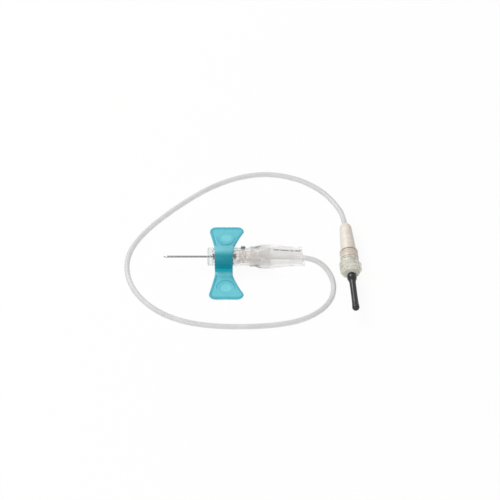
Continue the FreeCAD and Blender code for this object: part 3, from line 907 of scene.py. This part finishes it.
def wing_mesh(side):
    """A wing as a closed skin with a round rim; side is -1 for the near one and 1 for the far one."""
    bm = bmesh.new()
    bmesh.ops.create_grid(bm, x_segments=WING_COLUMNS, y_segments=WING_ROWS, size=1.0)
    bmesh.ops.solidify(bm, geom=bm.faces[:], thickness=0.5)
    middle = sum(vert.co.z for vert in bm.verts) / len(bm.verts)
    border = wing_border()
    for vert in bm.verts:
        across = 0.5 - 0.5 * math.cos(math.pi * (vert.co.x + 1) / 2)
        y = wing_row((vert.co.y + 1) / 2)
        front, rear = wing_edges(y)
        x = front + (rear - front) * across
        if abs(vert.co.x) > 0.999 or vert.co.y > 0.999:
            height = wing_top(x, y, 0, 0)
        else:
            gap = min((b - Vector((x, y))).length for b in border)
            skin = HALF_WING * math.sqrt(max(1 - (1 - min(gap / RIM_ROUND, 1)) ** 2, 0))
            height = wing_top(x, y, gap, skin) if vert.co.z > middle else HALF_WING - skin
        vert.co = Vector((x, side * y, height))
    bmesh.ops.remove_doubles(bm, verts=bm.verts, dist=1e-5)
    bmesh.ops.recalc_face_normals(bm, faces=bm.faces)
    return bm


def wing(name, node, side):
    """One wing, on the collar."""
    made = piece(name, wing_mesh(side), COLLAR, [teal], node, sharp=70)
    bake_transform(made)


wing_saddle()
wing("near_wing_skin", "wing_near", -1)
wing("far_wing_skin", "wing_far", 1)


# The connector, the adapter and its sleeve; x runs from the connector's tail, or from the luer front

FLANGE_START = 15.6
FLANGE_LIP = 16.35
LUG_RADIUS = 3.95


def grip_bar(bm, start, skin, middle, length=0.55, rise=0.22, span=44):
    """A low bar with round shoulders, which hugs the connector over a span in degrees."""
    before = set(bm.verts)
    low = skin - rise
    high = skin + rise
    end = start + length
    section = soften([(start, low), (start, high, 0.12), (end, high, 0.12), (end, low)], False, 3)
    wind(bm, section, [(span / 360, 0)], middle - span / 2, per_turn=80)
    for vert in bm.verts:
        if vert not in before:
            turn = math.degrees(math.atan2(-vert.co.y, vert.co.z)) - middle
            off = abs((turn + 180) % 360 - 180) / (span / 2)
            out = Vector((0, vert.co.y, vert.co.z))
            vert.co -= out.normalized() * 0.2 * off**6


def luer_connector():
    """Tapered cream connector with three bars above and below and a grooved luer flange."""
    skin = sweep_curve(
        [
            (0, 1.45), (0.5, 1.85), (1.2, 2.3), (2.4, 2.6), (5.5, 2.82), (9.0, 3.05), (12.5, 3.24),
            (15.4, 3.34),
        ]
    )
    flange = soften(
        [
            (FLANGE_START, 3.36), (FLANGE_START, LUG_RADIUS, 0.2), (FLANGE_LIP, LUG_RADIUS),
            (16.9, LUG_RADIUS, 0.1), (17.15, 3.78, 0.1), (17.7, 3.78, 0.1), (17.95, LUG_RADIUS, 0.1),
            (LUER_FRONT, LUG_RADIUS, 0.15), (LUER_FRONT, 2.15, 0.1), (11.1, 1.89, 0.1), (11.1, 0.7),
            (5.2, 0.7), (5.2, TUBE_BORE),
        ],
        closed=False,
    )
    connector = lathe([Vector((0, TUBE_BORE)), *skin] + flange)
    for start in (7.0, 9.65, 12.3):
        skin_there = 2.6 + 0.75 * (start - 2.4) / 13.2
        for middle in (0, 180):
            grip_bar(connector, start, skin_there, middle)
    # Painted shade: the band where the flange starts gets the brown tint.
    for face in connector.faces:
        along = face.calc_center_median().x
        if along > FLANGE_START - 0.15:
            face.material_index = 1 if along > FLANGE_LIP else 2
    return piece(
        "luer_connector_moulding",
        connector,
        CHAIN,
        [cream, cream_flange, cream_rim_painted_shade],
        "luer_connector",
        "needle_carrier",
    )


THREAD_CORE = 3.85
THREAD_CREST = 4.7
THREAD_START = 1.83
THREAD_PITCH = 2.1
THREAD_TURNS = 2.4
THREAD_RUN_OUT = 69


def add_thread(bm):
    """Wind a ridge on the adapter's core and let it run out into the core at both ends."""
    before = set(bm.verts)
    rise = THREAD_CREST - THREAD_CORE
    flank = [(-0.5, THREAD_CORE - 0.1), (-0.42, THREAD_CORE + rise * 0.35), (-0.2, THREAD_CREST - 0.05)]
    flank += [(0, THREAD_CREST)]
    flank += [(-x, r) for x, r in reversed(flank[:-1])]
    wind(bm, [(THREAD_START + x, r) for x, r in flank], [(THREAD_TURNS, THREAD_PITCH)], per_turn=96)
    for vert in bm.verts:
        if vert in before:
            continue
        radius = math.hypot(vert.co.y, vert.co.z)
        angle = math.degrees(math.atan2(-vert.co.y, vert.co.z)) % 360
        turn = round((vert.co.x - THREAD_START) / THREAD_PITCH - angle / 360) + angle / 360
        near_end = 360 * min(turn, THREAD_TURNS - turn)
        fade = ease(near_end / THREAD_RUN_OUT)
        top = THREAD_CORE - 0.05 + (radius - THREAD_CORE + 0.05) * fade
        vert.co.y *= min(radius, top) / radius
        vert.co.z *= min(radius, top) / radius


def luer_adapter():
    """Clear hub with a male cone in the connector, a coarse holder thread and a spigot for the sleeve."""
    adapter = lathe(
        soften(
            [
                (-7.4, NEEDLE_BORE), (-7.4, 1.88, 0.1), (0, 2.1), (0.05, 3.75, 0.15), (1.2, 3.75, 0.1),
                (1.25, THREAD_CORE, 0.1), (6.8, THREAD_CORE, 0.3), (7.6, 3.5, 0.2), (7.6, 0.7, 0.1),
                (8.7, 0.7, 0.1), (8.7, NEEDLE_BORE),
            ]
        )
    )
    add_thread(adapter)
    return piece(
        "luer_adapter_moulding",
        adapter,
        ADAPTER,
        [adapter_plastic],
        "luer_adapter",
        "adapter_set",
    )


def rubber_sleeve():
    """Black sleeve over the back needle, with a swollen root on the spigot and a closed round tip."""
    bore = [(25.9, 0), (25.9, 0.55), (8.75, 0.55), (8.75, 0.75), (7.65, 0.75)]
    skin = sweep_curve(
        [
            (7.72, 1.38), (8.3, 1.9), (9.2, 2.07), (10.2, 2.02), (11.1, 1.72), (12.1, 1.45), (14.5, 1.38),
            (18.0, 1.36), (21.0, 1.38), (23.4, 1.42), (24.8, 1.52), (25.8, 1.55), (26.5, 1.2), (26.85, 0.75),
            (26.98, 0.35),
        ]
    )
    sleeve = lathe([Vector(p) for p in bore] + [*skin, Vector((27.0, 0))], closed=False)
    return piece(
        "rubber_needle_sleeve",
        sleeve,
        ADAPTER,
        [rubber],
        "rubber_sleeve",
        "adapter_set",
        sharp=60,
    )


# The tubing, from the hub round the loop and into the connector

CHAIN_AHEAD = (CHAIN.to_3x3() @ Vector((1, 0, 0))).normalized()
ROUTE = [
    (6.63, 0.0, 5.3), (17.0, 0.05, 5.25), (27.6, -0.1, 5.15), (35.2, -1.0, 4.6), (40.0, -4.2, 3.4),
    (43.2, -10.2, 2.1), (43.1, -17.2, 1.4), (39.9, -23.0, 1.2), (34.3, -27.6, 1.2), (27.2, -30.8, 1.2),
    (16.7, -32.8, 1.2), (4.5, -33.4, 1.2), (-7.4, -33.1, 1.2), (-19.4, -31.3, 1.2), (-29.8, -27.0, 1.2),
    (-37.9, -20.6, 1.2), (-43.6, -12.6, 1.2), (-46.1, -3.0, 1.2), (-44.6, 6.3, 1.2), (-39.0, 15.4, 1.2),
    (-31.0, 23.9, 1.2), (-21.0, 32.7, 1.2), (-9.6, 41.0, 1.2), (3.4, 46.7, 1.2), (16.5, 48.3, 1.2),
    (29.1, 45.2, 1.2), (39.0, 38.9, 1.3), (45.0, 30.9, 2.0),
    tuple(CONNECTOR_TAIL - CHAIN_AHEAD * 4.5), tuple(CONNECTOR_TAIL + CHAIN_AHEAD * 5.17),
]
TUBE_RADIUS = 1.15


def tubing():
    """Round soft tube on a smooth line through the route."""
    line = bpy.data.curves.new("tubing", "CURVE")
    line.dimensions = "3D"
    line.bevel_depth = TUBE_RADIUS * MM
    line.bevel_resolution = 9
    line.resolution_u = 20
    line.use_fill_caps = True
    spline = line.splines.new("NURBS")
    spline.points.add(len(ROUTE) - 1)
    for point, spot in zip(spline.points, ROUTE):
        point.co = (*metres(spot), 1.0)
    spline.order_u = 3
    spline.use_endpoint_u = True
    line.materials.append(tube_vinyl)
    tube = put_in_scene("tubing_line", line)
    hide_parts("tubing")
    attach(tube, "needle_carrier")


far_pieces = [luer_connector(), luer_adapter(), rubber_sleeve(), "adapter_needle"]
tubing()


# The table, the light and the camera


def seen_directly(tree):
    """1 for what is looked at, also by reflection or through clear plastic, and 0 for what gives light."""
    light = add(tree, "ShaderNodeLightPath").outputs
    mirrored = add(
        tree,
        "ShaderNodeMath",
        {0: light["Is Camera Ray"], 1: light["Is Glossy Ray"]},
        operation="MAXIMUM",
    )
    seen = add(
        tree,
        "ShaderNodeMath",
        {0: mirrored.outputs[0], 1: light["Is Transmission Ray"]},
        operation="MAXIMUM",
    )
    return seen.outputs[0]


def card_finish():
    """Matt white card. It is seen as near-white paper, and what it throws back onto the set is soft."""
    made, tree = new_finish("white table card")
    card = add(tree, "ShaderNodeBsdfDiffuse", {"Color": rgb("F6F6F5"), "Roughness": 0.6})
    bright = add(tree, "ShaderNodeEmission", {"Color": rgb("FFFFFF"), "Strength": 1.0})
    share = add(tree, "ShaderNodeMath", {0: seen_directly(tree), 1: 0.9}, operation="MULTIPLY")
    mix = add(tree, "ShaderNodeMixShader", {0: share.outputs[0], 1: card.outputs[0], 2: bright.outputs[0]})
    add(tree, "ShaderNodeOutputMaterial", {"Surface": mix.outputs[0]})
    return made


def table_card():
    """The white card that the set lies on."""
    floor = bmesh.new()
    bmesh.ops.create_grid(floor, x_segments=1, y_segments=1, size=2.0)
    mesh = bpy.data.meshes.new("table card")
    floor.to_mesh(mesh)
    floor.free()
    mesh.materials.append(card_finish())
    put_in_scene("table card", mesh)


def studio():
    """White all round: it looks white, and lights the set at a little over half of that."""
    world = bpy.data.worlds.new("studio")
    world.use_nodes = True
    bpy.context.scene.world = world
    tree = world.node_tree
    tree.nodes.clear()
    level = add(tree, "ShaderNodeMapRange", {"Value": seen_directly(tree), "To Min": 0.55, "To Max": 1.0})
    surround = add(
        tree, "ShaderNodeBackground", {"Color": rgb("FFFFFF"), "Strength": level.outputs["Result"]}
    )
    add(tree, "ShaderNodeOutputWorld", {"Surface": surround.outputs[0]})


def softbox(name, place, width, height, watts):
    """A rectangular lamp, in metres, that looks at the origin."""
    lamp = bpy.data.lights.new(name, "AREA")
    lamp.shape = "RECTANGLE"
    lamp.size = width
    lamp.size_y = height
    lamp.energy = watts
    made = put_in_scene(name, lamp)
    made.location = place
    made.rotation_euler = (-Vector(place)).to_track_quat("-Z", "Y").to_euler()


# The photo's view. One of its pixels is 0.43 mm, and its middle is right of the origin and above the axis.
PIXEL = 0.43 * MM
PHOTO_WIDTH = 500
MIDDLE_RIGHT = 17.3
MIDDLE_UP = 6.6
ELEVATION = math.radians(54.5)
DISTANCE = 800 * MM
SENSOR_WIDTH = 36


def photo_camera():
    """A camera that sees the set as the photo does."""
    look = Vector((0, math.cos(ELEVATION), -math.sin(ELEVATION)))
    upward = Vector((0, math.sin(ELEVATION), math.cos(ELEVATION)))
    target = Vector((MIDDLE_RIGHT * PIXEL, 0, AXIS_HEIGHT * MM)) + upward * (MIDDLE_UP * PIXEL)
    data = bpy.data.cameras.new("photo camera")
    data.sensor_width = SENSOR_WIDTH
    data.lens = DISTANCE / PIXEL / PHOTO_WIDTH * SENSOR_WIDTH
    camera = put_in_scene("photo camera", data)
    camera.location = target - look * DISTANCE
    camera.rotation_euler = (math.pi / 2 - ELEVATION, 0, 0)
    bpy.context.scene.camera = camera


table_card()
studio()
softbox("overhead softbox", (-0.45, 0.45, 0.7), 0.5, 0.5, 4.8)
softbox("front softbox", (-0.25, -0.65, 0.5), 0.5, 0.3, 1.9)
photo_camera()
bpy.context.scene.view_settings.view_transform = "Standard"
